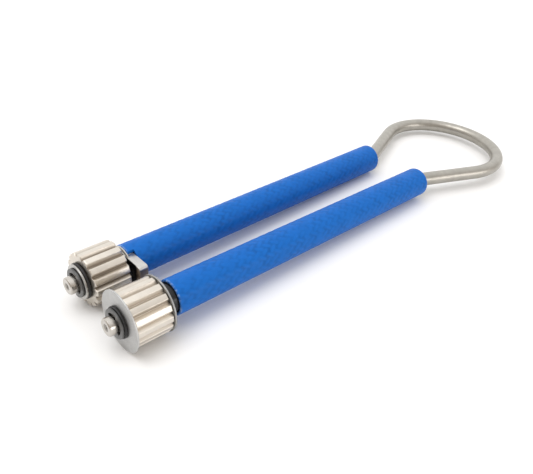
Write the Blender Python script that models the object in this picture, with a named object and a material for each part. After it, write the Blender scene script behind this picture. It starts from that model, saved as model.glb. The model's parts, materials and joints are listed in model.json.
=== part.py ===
"""Twin roller wire straightening tongs, in metres, lying on a table.

One spring wire makes the loop at the back and, through both handle sleeves, the two roller axles
at the front. X runs from the rollers to the loop, Z is up, and left and right are as held, with the
rollers pointing away. The left roller runs between two steel discs. The right leg carries a stop
plate. The wire is parted at the back of each sleeve, where it flexes as the legs are squeezed.
"""

import math

import bmesh
import bpy
from mathutils import Matrix, Vector

# Spring wire and its loop
WIRE_DIAMETER = 0.0036
LOOP_RADIUS = 0.0165
LOOP_SETBACK = 0.0255
NECK_STRAIGHT = 0.0010
NECK_BEND_RADIUS = 0.0060
FLEX_INSET = 0.0005
TIP_OVERHANG = 0.0016
TIP_CHAMFER = 0.0002
DIMPLE_DIAMETER = 0.0016
DIMPLE_DEPTH = 0.0003

# Handle sleeves and the core tubes inside them
SLEEVE_DIAMETER = 0.0075
SLEEVE_WALL = 0.0006
SLEEVE_LENGTH = 0.0798
SLEEVE_RIM_ROUND = 0.0003
CORE_NOSE = 0.0022
CORE_INSET = 0.0003
REAR_SPACING = 0.0167

# Fluted rollers and the discs beside the left one
ROLLER_DIAMETER = 0.0112
ROLLER_LENGTH = 0.0076
ROLLER_CHAMFER = 0.00015
ROLLER_GAP = 0.0032
FLUTE_COUNT = 15
FLUTE_WIDTH = 0.00117
FLUTE_FLOOR = 0.0001
FLUTE_DEPTH = 0.0008
LEFT_ROLLER_TURN_DEGREES = 3.0
RIGHT_ROLLER_TURN_DEGREES = 6.0
FRONT_DISC_RIM = 0.0006
REAR_DISC_RIM = 0.0002
DISC_THICKNESS = 0.00035

# Rings, washer and clips that hold the rollers on their axles
LEFT_RING_DIAMETER = 0.0064
LEFT_RING_THICKNESS = 0.0005
RIGHT_RING_DIAMETER = 0.0075
RIGHT_RING_THICKNESS = 0.00055
WASHER_DIAMETER = 0.0073
WASHER_THICKNESS = 0.0004
CLIP_DIAMETER = 0.0060
CLIP_THICKNESS = 0.0004
CLIP_BAND = 0.0008
CLIP_GROOVE_DEPTH = 0.0004
CLIP_MOUTH_DEGREES = 80.0
CLIP_MOUTH_DIRECTION_DEGREES = -48.0
CLIP_PRONG_DEGREES = 40.0

# Stop plate on the right leg
PLATE_THICKNESS = 0.0020
PLATE_HEIGHT = 0.0055
PLATE_REACH = 0.0068
PLATE_CORNER = 0.0007
PLATE_EDGE_ROUND = 0.0002
FLANGE_THICKNESS = 0.0003
FLANGE_SETBACK = 0.0002
NOTCH_FROM_AXIS = 0.0014

# Gaps between pieces: round an axle or in a notch, end to end, and in front of the stop plate
CLEARANCE = 0.00015
END_PLAY = 0.0001
PLATE_GAP = 0.0010

# Fineness of the round shapes
TURN_SEGMENTS = 40
WIRE_SEGMENTS = 20
ARC_STEP_DEGREES = 6.0
RIM_STEPS = 3
LAND_STEPS = 3

# Radii that follow from the sizes above
WIRE_RADIUS = WIRE_DIAMETER / 2
GROOVE_RADIUS = WIRE_RADIUS - CLIP_GROOVE_DEPTH
RUNNING_BORE = WIRE_RADIUS + CLEARANCE
SLEEVE_RADIUS = SLEEVE_DIAMETER / 2
SLEEVE_BORE = SLEEVE_RADIUS - SLEEVE_WALL
CORE_RADIUS = SLEEVE_BORE - CLEARANCE
ROLLER_RADIUS = ROLLER_DIAMETER / 2
FRONT_DISC_RADIUS = ROLLER_RADIUS + FRONT_DISC_RIM
REAR_DISC_RADIUS = ROLLER_RADIUS + REAR_DISC_RIM

# Places along a leg, measured back from the front of the left sleeve, which is at zero
LEFT_REAR_DISC = -CORE_NOSE - END_PLAY - DISC_THICKNESS
LEFT_ROLLER = LEFT_REAR_DISC - END_PLAY - ROLLER_LENGTH
LEFT_FRONT_DISC = LEFT_ROLLER - END_PLAY - DISC_THICKNESS
LEFT_RING = LEFT_FRONT_DISC - END_PLAY - LEFT_RING_THICKNESS
CLIP = LEFT_RING - END_PLAY - CLIP_THICKNESS
WIRE_TIP = CLIP - TIP_OVERHANG
RIGHT_WASHER = CLIP + CLIP_THICKNESS + END_PLAY
RIGHT_RING = RIGHT_WASHER + WASHER_THICKNESS + END_PLAY
RIGHT_ROLLER = RIGHT_RING + RIGHT_RING_THICKNESS + END_PLAY
PLATE = RIGHT_ROLLER + ROLLER_LENGTH + PLATE_GAP
FLANGE = PLATE + FLANGE_SETBACK
RIGHT_SLEEVE = FLANGE + FLANGE_THICKNESS + END_PLAY
RIGHT_CORE = PLATE + PLATE_THICKNESS + END_PLAY
FLEX_POINT = SLEEVE_LENGTH - FLEX_INSET
CORE_END = SLEEVE_LENGTH - CORE_INSET

# The legs spread towards the back: half the distance between their axes at each place
ROLLER_MIDDLE = (LEFT_ROLLER + RIGHT_ROLLER + ROLLER_LENGTH) / 2
ROLLER_HALF_SPACING = (ROLLER_DIAMETER + ROLLER_GAP) / 2
SPLAY = (REAR_SPACING / 2 - ROLLER_HALF_SPACING) / (SLEEVE_LENGTH - ROLLER_MIDDLE)
SPLAY_ANGLE = math.atan(SPLAY)


def half_spacing(place):
    """Distance from the middle plane to a leg's axis, at a place along the tongs."""
    return REAR_SPACING / 2 + SPLAY * (place - SLEEVE_LENGTH)


def clear_scene():
    for old in list(bpy.data.objects):
        bpy.data.objects.remove(old, do_unlink=True)


def finish_material(name, colour, roughness, metallic):
    material = bpy.data.materials.new(name)
    material.use_nodes = True
    shader = material.node_tree.nodes["Principled BSDF"]
    shader.inputs["Base Color"].default_value = (*colour, 1.0)
    shader.inputs["Roughness"].default_value = roughness
    shader.inputs["Metallic"].default_value = metallic
    return material


def add_empty(name, parent=None, location=(0, 0, 0), turn=0.0):
    empty = bpy.data.objects.new(name, None)
    bpy.context.scene.collection.objects.link(empty)
    empty.parent = parent
    empty.location = location
    empty.rotation_euler.z = turn
    return empty


def add_piece(name, shape, parent, material=None, along=0.0):
    """Turn a bmesh into a named object, placed along its parent's X axis."""
    bmesh.ops.recalc_face_normals(shape, faces=shape.faces)
    mesh = bpy.data.meshes.new(name)
    shape.to_mesh(mesh)
    shape.free()
    mesh.shade_smooth()
    mesh.set_sharp_from_angle(angle=math.radians(30))
    piece = bpy.data.objects.new(name, mesh)
    bpy.context.scene.collection.objects.link(piece)
    piece.parent = parent
    piece.location.x = along
    if material:
        mesh.materials.append(material)
    return piece


def add_tool(name, shape, parent, along=0.0):
    tool = add_piece(name, shape, parent, along=along)
    tool.display_type = 'WIRE'
    tool.hide_render = True
    return tool


def combine(piece, tool, operation):
    """Cut a hidden tool out of a piece, or weld it on."""
    modifier = piece.modifiers.new(tool.name, 'BOOLEAN')
    modifier.operation = operation
    modifier.solver = 'EXACT'
    modifier.object = tool


def join_rings(shape, first, second):
    """Fill the strip of faces between two closed rings of vertices."""
    count = len(first)
    for i in range(count):
        after = (i + 1) % count
        shape.faces.new((first[i], first[after], second[after], second[i]))


def circle(x, radius, segments):
    """Points of a circle round the X axis."""
    angles = [2 * math.pi * i / segments for i in range(segments)]
    return [Vector((x, radius * math.cos(a), radius * math.sin(a))) for a in angles]


def turned(profile, hollow, segments=TURN_SEGMENTS):
    """Turn (x, radius) points round the X axis: a loop of them if hollow, or a solid of revolution."""
    shape = bmesh.new()
    rings = [[shape.verts.new(p) for p in circle(x, radius, segments)] for x, radius in profile]
    for first, second in zip(rings, rings[1:]):
        join_rings(shape, first, second)
    if hollow:
        join_rings(shape, rings[-1], rings[0])
    else:
        shape.faces.new(rings[0])
        shape.faces.new(rings[-1])
    return shape


def tube(length, radius, bore, rim_round=0.0):
    """A straight tube along X, with the outer edges of its ends rounded."""
    corner = [(rim_round * (1 - math.cos(a)), rim_round * (1 - math.sin(a)))
              for a in (math.pi / 2 * i / RIM_STEPS for i in range(RIM_STEPS + 1))]
    if rim_round == 0:
        corner = [(0.0, 0.0)]
    front = [(x, radius - drop) for x, drop in corner]
    back = [(length - x, radius - drop) for x, drop in reversed(corner)]
    return turned(front + back + [(length, bore), (0.0, bore)], hollow=True)


def prism(outline, thickness):
    """A flat plate with a (y, z) outline, from zero to its thickness along X."""
    shape = bmesh.new()
    front = [shape.verts.new((0, y, z)) for y, z in outline]
    back = [shape.verts.new((thickness, y, z)) for y, z in outline]
    join_rings(shape, front, back)
    shape.faces.new(front)
    shape.faces.new(back)
    return shape


def arc(centre, radius, start, end, step_degrees=ARC_STEP_DEGREES):
    """Points along an arc in a plane, from one angle to another, in radians."""
    steps = max(2, math.ceil(abs(end - start) / math.radians(step_degrees)))
    angles = [start + (end - start) * i / steps for i in range(steps + 1)]
    return [(centre[0] + radius * math.cos(a), centre[1] + radius * math.sin(a)) for a in angles]


def loop_path():
    """Centre line of the loop, in plan: right neck, bend out, straight limb, round the back, mirrored."""
    along = Vector((math.cos(SPLAY_ANGLE), math.sin(SPLAY_ANGLE)))
    outward = Vector((-along.y, along.x))
    pivot = Vector((FLEX_POINT, half_spacing(FLEX_POINT)))
    start = pivot + along * CLEARANCE
    neck = pivot + along * (FLEX_INSET + NECK_STRAIGHT)
    bend_centre = neck + outward * NECK_BEND_RADIUS
    loop_centre = Vector((SLEEVE_LENGTH + LOOP_SETBACK, 0.0))
    between = loop_centre - bend_centre
    heading = math.atan2(between.y, between.x)
    heading += math.asin((LOOP_RADIUS + NECK_BEND_RADIUS) / between.length)
    quarter = math.pi / 2
    bend = arc(bend_centre, NECK_BEND_RADIUS, SPLAY_ANGLE - quarter, heading - quarter)
    back = arc(loop_centre, LOOP_RADIUS, heading + quarter, 0.0)
    right_half = [tuple(start)] + bend + back
    left_half = [(x, -y) for x, y in reversed(right_half[:-1])]
    return right_half + left_half


def swept_wire(path, radius, segments=WIRE_SEGMENTS):
    """A round wire along a flat path of (x, y) points."""
    shape = bmesh.new()
    points = [Vector((x, y, 0)) for x, y in path]
    rings = []
    for i, point in enumerate(points):
        heading = (points[min(i + 1, len(points) - 1)] - points[max(i - 1, 0)]).normalized()
        side = Vector((-heading.y, heading.x, 0))
        rings.append([shape.verts.new(point + side * p.y + Vector((0, 0, p.z)))
                      for p in circle(0, radius, segments)])
    for first, second in zip(rings, rings[1:]):
        join_rings(shape, first, second)
    shape.faces.new(rings[0])
    shape.faces.new(rings[-1])
    return shape


def leg_wire_profile():
    """Outline of a straight leg of the wire: dimpled tip, chamfer, clip groove, then plain to the flex."""
    dimple = DIMPLE_DIAMETER / 2
    groove_front = CLIP - END_PLAY
    groove_back = CLIP + CLIP_THICKNESS + END_PLAY
    return [
        (WIRE_TIP + DIMPLE_DEPTH, dimple / 2),
        (WIRE_TIP, dimple),
        (WIRE_TIP, WIRE_RADIUS - TIP_CHAMFER),
        (WIRE_TIP + TIP_CHAMFER, WIRE_RADIUS),
        (groove_front, WIRE_RADIUS),
        (groove_front, GROOVE_RADIUS),
        (groove_back, GROOVE_RADIUS),
        (groove_back, WIRE_RADIUS),
        (FLEX_POINT - CLEARANCE, WIRE_RADIUS),
    ]


def fluted_ring(x, land_radius, turn):
    """Section of a roller: round lands parted by V-shaped flutes, turned from a land at the bottom."""
    floor = ROLLER_RADIUS - FLUTE_DEPTH
    pitch = 2 * math.pi / FLUTE_COUNT
    half_mouth = math.asin(FLUTE_WIDTH / 2 / land_radius)
    half_floor = math.asin(FLUTE_FLOOR / 2 / floor)
    half_land = pitch / 2 - half_mouth
    points = []
    for flute in range(FLUTE_COUNT):
        middle = turn - math.pi / 2 + flute * pitch
        for step in range(LAND_STEPS + 1):
            points.append((land_radius, middle - half_land + 2 * half_land * step / LAND_STEPS))
        points.append((floor, middle + pitch / 2 - half_floor))
        points.append((floor, middle + pitch / 2 + half_floor))
    return [Vector((x, r * math.cos(a), r * math.sin(a))) for r, a in points]


def close_roller_end(shape, ring):
    """Give each land a flat end, and join the flute floors to a bore, whose vertices are returned."""
    land_points = LAND_STEPS + 1
    floors = []
    for start in range(0, len(ring), land_points + 2):
        after = start + land_points
        shape.faces.new([ring[start - 1]] + ring[start:after + 1])
        floors += ring[after:after + 2]
    bore = []
    quarter_pitch = math.pi / (2 * FLUTE_COUNT)
    for before, after in zip(floors[::2], floors[1::2]):
        middle = (before.co + after.co) / 2
        flute = math.atan2(middle.z, middle.y)
        for angle in (flute - quarter_pitch, flute + quarter_pitch):
            y = RUNNING_BORE * math.cos(angle)
            z = RUNNING_BORE * math.sin(angle)
            bore.append(shape.verts.new((middle.x, y, z)))
    join_rings(shape, floors, bore)
    return bore


def roller_shape(turn):
    """A fluted roller along X with chamfered land ends and a plain bore."""
    shape = bmesh.new()
    stations = (
        (0.0, ROLLER_RADIUS - ROLLER_CHAMFER),
        (ROLLER_CHAMFER, ROLLER_RADIUS),
        (ROLLER_LENGTH - ROLLER_CHAMFER, ROLLER_RADIUS),
        (ROLLER_LENGTH, ROLLER_RADIUS - ROLLER_CHAMFER),
    )
    rings = [[shape.verts.new(p) for p in fluted_ring(x, r, turn)] for x, r in stations]
    for first, second in zip(rings, rings[1:]):
        join_rings(shape, first, second)
    join_rings(shape, close_roller_end(shape, rings[0]), close_roller_end(shape, rings[-1]))
    return shape


def clip_outline():
    """A retaining clip with three prongs: two beside its mouth and one opposite, seated in the groove."""
    seat = GROOVE_RADIUS + CLEARANCE
    relief = CLIP_DIAMETER / 2 - CLIP_BAND
    mouth_direction = math.radians(CLIP_MOUTH_DIRECTION_DEGREES)
    half_mouth = math.radians(CLIP_MOUTH_DEGREES / 2)
    prong = math.radians(CLIP_PRONG_DEGREES)
    start = mouth_direction + half_mouth
    end = mouth_direction + 2 * math.pi - half_mouth
    back = mouth_direction + math.pi
    steps = (
        (CLIP_DIAMETER / 2, start, end),
        (seat, end, end - prong),
        (relief, end - prong, back + prong / 2),
        (seat, back + prong / 2, back - prong / 2),
        (relief, back - prong / 2, start + prong),
        (seat, start + prong, start),
    )
    return [point for radius, a, b in steps for point in arc((0, 0), radius, a, b)]


def plate_outline():
    """Stop plate: a round hub inside the sleeve, and a tongue out through its notch towards the left leg."""
    hub = CORE_RADIUS
    half = PLATE_HEIGHT / 2
    shoulder = NOTCH_FROM_AXIS + CLEARANCE
    hub_end = math.acos(-shoulder / hub)
    inner = PLATE_CORNER - PLATE_REACH
    quarter = math.pi / 2
    upper = arc((inner, half - PLATE_CORNER), PLATE_CORNER, quarter, 2 * quarter, 15)
    lower = arc((inner, PLATE_CORNER - half), PLATE_CORNER, 2 * quarter, 3 * quarter, 15)
    return arc((0, 0), hub, -hub_end, hub_end) + [(-shoulder, half)] + upper + lower + [(-shoulder, -half)]


def build_leg(side, sign, frame, materials, sleeve_front, core_front):
    """Pivot, wire, sleeve, core tube and clip of one leg."""
    pivot = add_empty(side + "_leg_pivot", frame, (FLEX_POINT, sign * half_spacing(FLEX_POINT), 0),
                      sign * SPLAY_ANGLE)
    wire = turned(leg_wire_profile(), hollow=False)
    add_piece(side + "_leg_wire", wire, pivot, materials["steel wire"], -FLEX_POINT)
    sleeve = add_piece(side + "_sleeve",
                       tube(SLEEVE_LENGTH - sleeve_front, SLEEVE_RADIUS, SLEEVE_BORE, SLEEVE_RIM_ROUND),
                       pivot, materials["blue sleeve"], sleeve_front - FLEX_POINT)
    add_piece(side + "_core_tube", tube(CORE_END - core_front, CORE_RADIUS, RUNNING_BORE),
              pivot, materials["black rubber"], core_front - FLEX_POINT)
    add_piece(side + "_e_clip", prism(clip_outline(), CLIP_THICKNESS),
              pivot, materials["black steel"], CLIP - FLEX_POINT)
    return pivot, sleeve


def build_roller(side, pivot, front, turn_degrees, materials):
    """A roller on its own turning axis."""
    axis = add_empty(side + "_roller_axis", pivot, (front + ROLLER_LENGTH / 2 - FLEX_POINT, 0, 0))
    shape = roller_shape(math.radians(turn_degrees))
    add_piece(side + "_roller", shape, axis, materials["nickel"], -ROLLER_LENGTH / 2)


def add_ring(name, pivot, place, thickness, radius, material):
    add_piece(name, tube(thickness, radius, RUNNING_BORE), pivot, material, place - FLEX_POINT)


def build_left_leg(frame, materials):
    pivot, _ = build_leg("left", -1, frame, materials, sleeve_front=0.0, core_front=-CORE_NOSE)
    build_roller("left", pivot, LEFT_ROLLER, LEFT_ROLLER_TURN_DEGREES, materials)
    add_ring("left_rear_disc", pivot, LEFT_REAR_DISC, DISC_THICKNESS, REAR_DISC_RADIUS,
             materials["matt steel"])
    add_ring("left_front_disc", pivot, LEFT_FRONT_DISC, DISC_THICKNESS, FRONT_DISC_RADIUS,
             materials["matt steel"])
    add_ring("left_front_ring", pivot, LEFT_RING, LEFT_RING_THICKNESS, LEFT_RING_DIAMETER / 2,
             materials["black rubber"])


def build_right_leg(frame, materials):
    pivot, sleeve = build_leg("right", 1, frame, materials, sleeve_front=RIGHT_SLEEVE,
                              core_front=RIGHT_CORE)
    build_roller("right", pivot, RIGHT_ROLLER, RIGHT_ROLLER_TURN_DEGREES, materials)
    add_ring("right_front_washer", pivot, RIGHT_WASHER, WASHER_THICKNESS, WASHER_DIAMETER / 2,
             materials["nickel"])
    add_ring("right_front_ring", pivot, RIGHT_RING, RIGHT_RING_THICKNESS, RIGHT_RING_DIAMETER / 2,
             materials["black rubber"])
    build_stop_plate(pivot, sleeve, materials["plate steel"])


def build_stop_plate(pivot, sleeve, material):
    """The stop plate, flanged and bored for the wire, in a notch in the inner side of the sleeve's nose."""
    plate = add_piece("right_stop_plate", prism(plate_outline(), PLATE_THICKNESS), pivot, material,
                      PLATE - FLEX_POINT)
    edges = plate.modifiers.new("Rounded edges", 'BEVEL')
    edges.width = PLATE_EDGE_ROUND
    edges.segments = 2
    edges.limit_method = 'ANGLE'
    edges.angle_limit = math.radians(60)
    flange = turned([(0, SLEEVE_RADIUS), (FLANGE_THICKNESS, SLEEVE_RADIUS)], hollow=False)
    combine(plate, add_tool("plate_flange_tool", flange, pivot, FLANGE - FLEX_POINT), 'UNION')
    overrun = PLATE_THICKNESS
    bore = turned([(-overrun, RUNNING_BORE), (PLATE_THICKNESS + overrun, RUNNING_BORE)], hollow=False)
    combine(plate, add_tool("plate_bore_tool", bore, pivot, PLATE - FLEX_POINT), 'DIFFERENCE')
    reach = SLEEVE_DIAMETER
    inner = -NOTCH_FROM_AXIS
    notch = prism([(-reach, -reach), (inner, -reach), (inner, reach), (-reach, reach)],
                  overrun + PLATE_THICKNESS + CLEARANCE)
    notch_tool = add_tool("sleeve_notch_tool", notch, pivot, PLATE - overrun - FLEX_POINT)
    combine(sleeve, notch_tool, 'DIFFERENCE')


def lay_on_table(frame):
    """Turn the tongs about so that the left front disc, the right roller and a sleeve's end touch Z = 0."""
    disc_back = LEFT_FRONT_DISC + DISC_THICKNESS
    roller_back = RIGHT_ROLLER + ROLLER_LENGTH - ROLLER_CHAMFER
    sleeve_back = SLEEVE_LENGTH - SLEEVE_RIM_ROUND
    disc_foot = Vector((disc_back, -half_spacing(disc_back), -FRONT_DISC_RADIUS))
    roller_foot = Vector((roller_back, half_spacing(roller_back), -ROLLER_RADIUS))
    sleeve_foot = Vector((sleeve_back, half_spacing(sleeve_back), -SLEEVE_RADIUS))
    up = (roller_foot - sleeve_foot).cross(disc_foot - sleeve_foot).normalized()
    forward = (Vector((1, 0, 0)) - up * up.x).normalized()
    turn = Matrix((forward, up.cross(forward), up))
    frame.rotation_euler = turn.to_euler()


def centre_on_origin(frame):
    """Bring the middle of the underside of the whole part's box to the origin."""
    bpy.context.view_layer.update()
    nodes = [o for o in bpy.data.objects if o.type == 'MESH' and not o.hide_render]
    corners = [o.matrix_world @ v.co for o in nodes for v in o.data.vertices]
    low = Vector([min(c[i] for c in corners) for i in range(3)])
    high = Vector([max(c[i] for c in corners) for i in range(3)])
    frame.location = (-(low.x + high.x) / 2, -(low.y + high.y) / 2, -low.z)
    bpy.context.view_layer.update()


def main():
    clear_scene()
    materials = {
        "steel wire": finish_material("steel wire", (0.52, 0.49, 0.45), 0.30, 1.0),
        "blue sleeve": finish_material("blue sleeve", (0.018, 0.135, 0.560), 0.40, 0.0),
        "black rubber": finish_material("black rubber", (0.012, 0.012, 0.014), 0.35, 0.0),
        "nickel": finish_material("nickel", (0.72, 0.66, 0.58), 0.25, 1.0),
        "matt steel": finish_material("matt steel", (0.50, 0.50, 0.50), 0.45, 1.0),
        "plate steel": finish_material("plate steel", (0.46, 0.44, 0.41), 0.40, 1.0),
        "black steel": finish_material("black steel", (0.045, 0.045, 0.048), 0.35, 0.8),
    }
    frame = add_empty("lay_frame")
    add_piece("spring_bail", swept_wire(loop_path(), WIRE_RADIUS), frame, materials["steel wire"])
    build_left_leg(frame, materials)
    build_right_leg(frame, materials)
    lay_on_table(frame)
    centre_on_origin(frame)


main()
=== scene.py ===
"""Looks of the twin roller wire straightening tongs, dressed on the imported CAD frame.

Every piece is made in the frame of the leg that carries it: X runs back along the wire from the front of
the left sleeve, Z is up. It is then brought to the CAD frame, where it rides the body that it belongs to.
"""

import json
import math

import bmesh
import bpy
from bpy.props import FloatProperty, FloatVectorProperty, IntProperty, PointerProperty
from mathutils import Matrix, Vector
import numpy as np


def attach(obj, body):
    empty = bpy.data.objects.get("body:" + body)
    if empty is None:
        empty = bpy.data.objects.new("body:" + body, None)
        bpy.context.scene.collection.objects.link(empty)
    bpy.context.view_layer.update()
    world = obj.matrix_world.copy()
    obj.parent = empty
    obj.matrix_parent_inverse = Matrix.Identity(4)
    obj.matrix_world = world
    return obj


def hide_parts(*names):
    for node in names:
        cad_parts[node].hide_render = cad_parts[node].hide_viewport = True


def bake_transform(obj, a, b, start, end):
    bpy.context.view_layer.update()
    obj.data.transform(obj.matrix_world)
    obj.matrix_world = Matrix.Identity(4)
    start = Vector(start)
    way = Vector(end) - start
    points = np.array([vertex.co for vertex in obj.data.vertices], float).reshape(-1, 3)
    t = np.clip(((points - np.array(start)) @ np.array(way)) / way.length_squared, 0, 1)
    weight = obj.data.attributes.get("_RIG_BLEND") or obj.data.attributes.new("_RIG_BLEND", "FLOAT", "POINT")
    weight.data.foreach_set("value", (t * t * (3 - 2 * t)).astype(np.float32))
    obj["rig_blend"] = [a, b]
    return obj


bl_info = {
    "name": "Wire straightening tongs",
    "version": (1, 0, 0),
    "blender": (4, 5, 0),
    "location": "View3D > Sidebar > Tongs",
    "description": "Builds the visible pieces of twin roller wire straightening tongs on their CAD frame",
    "category": "Object",
}

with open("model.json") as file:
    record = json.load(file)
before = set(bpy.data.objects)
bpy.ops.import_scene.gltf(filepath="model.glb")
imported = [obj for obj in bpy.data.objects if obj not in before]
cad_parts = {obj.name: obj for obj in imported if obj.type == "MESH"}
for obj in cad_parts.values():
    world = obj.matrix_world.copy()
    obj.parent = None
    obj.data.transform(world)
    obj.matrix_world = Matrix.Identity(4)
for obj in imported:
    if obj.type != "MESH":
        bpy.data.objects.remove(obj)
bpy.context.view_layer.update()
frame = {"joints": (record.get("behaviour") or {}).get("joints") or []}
JOINTS = {joint["name"]: joint for joint in frame["joints"]}
SIDES = {"left": -1, "right": 1}
IMAGE_WIDTH = 533
SENSOR_WIDTH = 36.0
QUARTER = math.pi / 2
FULL_TURN = 2 * math.pi

# How finely shapes are divided

ROUND_SEGMENTS = 96
ARC_STEP_DEGREES = 4.0
LOOP_STEP_DEGREES = 2.5
PLATE_CORNER_STEP_DEGREES = 9.0
CORNER_STEPS = 4
BEVEL_SEGMENTS = 3
WIRE_SIDES = 40
LEG_STEPS = 40
LIMB_STEPS = 12
STEPS_PER_STRAND = 10
LAND_STEPS = 6
FLUTE_FLOOR_STEPS = 3
BORE_STEPS = 6
JOIN_DISTANCE = 1e-6
SAME_RADIUS = 1e-7
BEVEL_ANGLE = math.radians(40)
SHARP_ANGLE = math.radians(35)

# How round edges are, as shares of a thickness or of a chamfer

LAND_EDGE = 0.7
DISC_EDGE = 0.3
RUBBER_EDGE = 0.35
WASHER_EDGE = 0.25
CLIP_EDGE = 0.16
FLANGE_EDGE = 0.25


# Sizes and colours that a user would change

def number(name, default, description, **kind):
    """A setting, shown with its name and description."""
    return FloatProperty(name=name, default=default, description=description, **kind)


def length(name, default, description):
    return number(name, default, description, min=0.0, precision=5, unit='LENGTH')


def offset(name, default, description):
    return number(name, default, description, precision=5, unit='LENGTH')


def angle(name, degrees, description):
    return number(name, math.radians(degrees), description, subtype='ANGLE')


def power(name, default, description):
    return number(name, default, description, min=0.0, unit='POWER')


def count(name, default, description):
    return IntProperty(name=name, default=default, description=description, min=3)


def colour(name, default, description):
    return FloatVectorProperty(name=name, default=default, description=description, size=3,
                               min=0.0, max=1.0, subtype='COLOR')


class TONGS_PG_wire(bpy.types.PropertyGroup):
    """Sizes of the one spring wire that makes the loop, both legs and both axles."""

    diameter: length("Diameter", 0.0036, "Thickness of the spring wire")
    loop_radius: length("Loop radius", 0.0165, "Radius of the loop at the back")
    loop_setback: length("Loop setback", 0.0255, "From the sleeves' back ends to the loop's centre")
    neck_straight: length("Neck straight", 0.0010, "Straight wire behind a sleeve, before the bend")
    neck_bend: length("Neck bend radius", 0.0060, "Radius of the bend behind a sleeve")
    flex_inset: length("Flex inset", 0.0005, "From a sleeve's back end in to the leg's flex point")
    tip_overhang: length("Tip overhang", 0.0016, "Wire that stands out in front of a clip")
    tip_chamfer: length("Tip chamfer", 0.0002, "Chamfer on the wire's ends")
    dimple_radius: length("Dimple radius", 0.0008, "Radius of the centre dimple in the wire's ends")
    dimple_depth: length("Dimple depth", 0.0003, "Depth of the centre dimple")
    groove_depth: length("Groove depth", 0.0004, "Depth of the groove for a clip")
    tint: colour("Wire colour", (0.42, 0.40, 0.36), "Colour of the drawn steel wire")
    tip_tint: colour("Tip colour", (0.54, 0.51, 0.47), "Colour of the wire's turned tips")


class TONGS_PG_sleeve(bpy.types.PropertyGroup):
    """Sizes of the handle sleeves and of the core tubes inside them."""

    diameter: length("Diameter", 0.0075, "Outer diameter of a sleeve")
    wall: length("Wall", 0.0006, "Thickness of a sleeve's wall")
    extent: length("Length", 0.0798, "Length of the left sleeve")
    rim: length("Rim round", 0.0003, "Rounding of a sleeve's cut ends")
    core_nose: length("Core nose", 0.0022, "How far the left core tube stands out in front")
    core_inset: length("Core inset", 0.0003, "How far the core tubes stop short of the back")
    strands: count("Strands", 11, "Braid strands round a sleeve, each way")
    strand_pitch: length("Strand pitch", 0.0022, "Distance along a sleeve between crossings")
    strand_height: length("Strand height", 0.00012, "Relief of the braid under its coating")
    blue: colour("Blue", (0.010, 0.132, 0.492), "Colour of the coating")
    # Colour of the painted highlight in spots along a sleeve's cut front end.
    cut_glint_blue: colour("Cut blue", (0.30, 0.44, 0.72), "Colour of the frayed threads at a cut end")
    core_black: colour("Core black", (0.008, 0.008, 0.009), "Colour of the core tubes")


class TONGS_PG_roller(bpy.types.PropertyGroup):
    """Sizes of the fluted rollers and of the discs beside the left one."""

    diameter: length("Diameter", 0.0112, "Outer diameter of a roller")
    extent: length("Length", 0.0076, "Length of a roller")
    chamfer: length("Chamfer", 0.00015, "Chamfer on the ends of the lands")
    flutes: count("Flutes", 15, "Flutes round a roller")
    flute_width: length("Flute width", 0.00117, "Width of a flute")
    flute_floor: length("Flute floor", 0.0001, "Width of a flute's floor, between its sloping sides")
    flute_depth: length("Flute depth", 0.0008, "Depth of a flute")
    edge_round: length("Edge round", 0.00008, "Rounding of the lands and of the flutes' feet")
    left_turn: angle("Left turn", 3.0, "Turn of the left roller from a land straight down")
    right_turn: angle("Right turn", 6.0, "Turn of the right roller from a land straight down")
    front_disc_rim: length("Front disc rim", 0.0006, "How far the front disc stands out past the roller")
    rear_disc_rim: length("Rear disc rim", 0.0002, "How far the rear disc stands out past the roller")
    disc_thickness: length("Disc thickness", 0.00035, "Thickness of the discs")
    nickel: colour("Nickel", (0.68, 0.63, 0.56), "Colour of the plated lands")
    # The left flute colour is duller plating and painted shade in the flutes.
    left_flute_dull_and_shade: colour("Left flutes", (0.59, 0.53, 0.46), "Duller plating in the left roller's flutes")
    # The right flute colour is duller plating and painted shade, darker where the right roller's flutes face
    # the left roller.
    right_flute_dull_and_shade: colour("Right flutes", (0.34, 0.29, 0.24), "Dull plating in the right roller's flutes")
    disc_grey: colour("Disc grey", (0.545, 0.545, 0.54), "Colour of the punched discs")


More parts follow.
